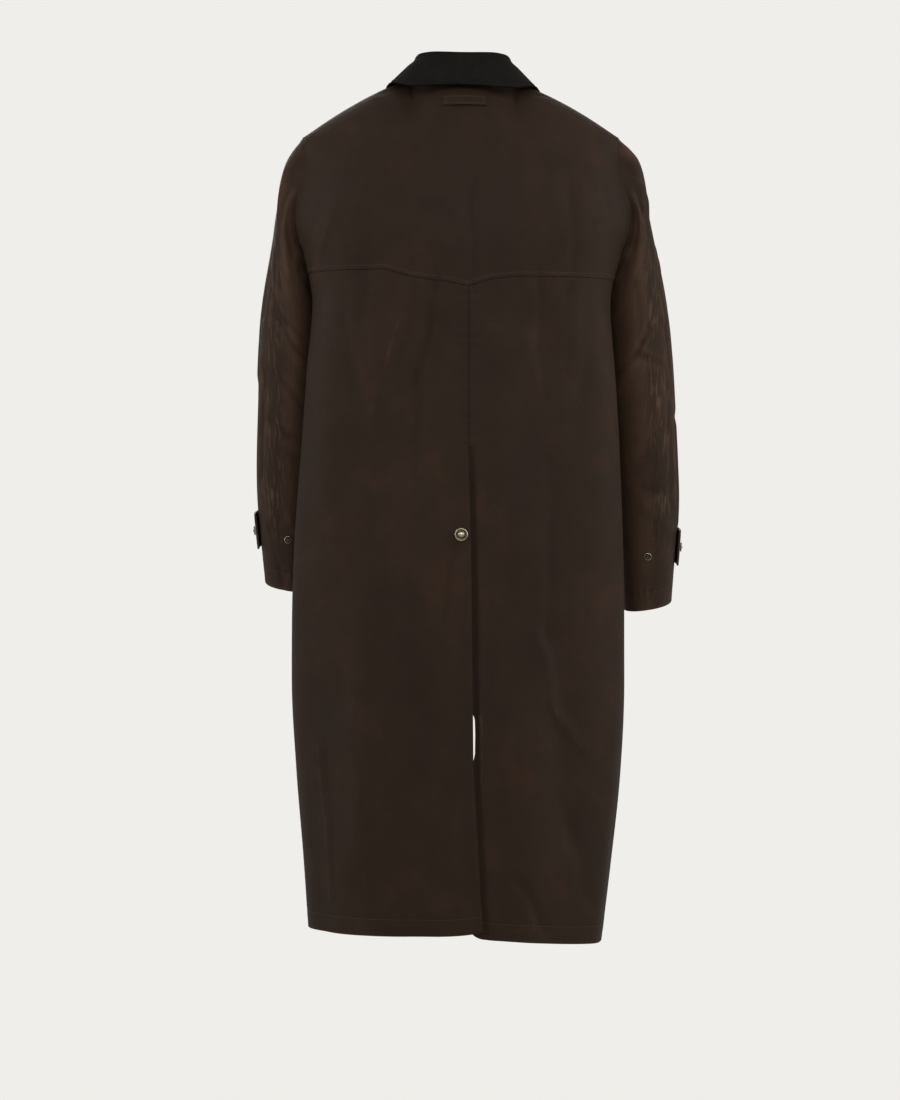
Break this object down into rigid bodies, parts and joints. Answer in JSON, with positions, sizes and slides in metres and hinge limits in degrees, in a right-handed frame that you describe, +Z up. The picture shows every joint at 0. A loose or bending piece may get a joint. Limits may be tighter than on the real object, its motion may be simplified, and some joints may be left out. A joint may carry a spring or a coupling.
{
  "type": "duster coat",
  "caption": "Long waxed-cotton duster coat in its worn form, open in front, with a turned-down collar, deep back yoke, lapped back vent with a snap, and sleeves with snapped cuff tabs.",
  "frame": {"origin": "middle of the neck opening, where the wearer's neck and shoulders hold the coat", "axes": "+Z up from hem to collar, +Y towards the back, +X towards the wearer's left"},
  "size_m": [0.6418, 0.3216, 1.3005],
  "materials": {
    "waxed_cotton": "waxed, dull with a soft sheen",
    "corded_collar": "corded pile, matt",
    "snap_metal": "antique, worn at the edges"
  },
  "bodies": {
    "root": {"back_yoke": "waxed_cotton", "back_left": "waxed_cotton", "back_right": "waxed_cotton", "front_left": "waxed_cotton", "front_right": "waxed_cotton", "sleeve_left": "waxed_cotton", "sleeve_right": "waxed_cotton", "collar": "corded_collar", "locker_loop": "waxed_cotton", "cuff_tab_left": "waxed_cotton", "cuff_tab_right": "waxed_cotton", "vent_snap": "snap_metal", "cuff_snap_left": "snap_metal", "cuff_snap_right": "snap_metal", "cuff_stud_left": "snap_metal", "cuff_stud_right": "snap_metal", "front_snap_1": "snap_metal", "front_snap_2": "snap_metal", "front_snap_3": "snap_metal", "front_snap_4": "snap_metal", "front_snap_5": "snap_metal", "front_snap_6": "snap_metal", "front_stud_1": "snap_metal", "front_stud_2": "snap_metal", "front_stud_3": "snap_metal", "front_stud_4": "snap_metal", "front_stud_5": "snap_metal", "front_stud_6": "snap_metal"}
  },
  "joints": []
}
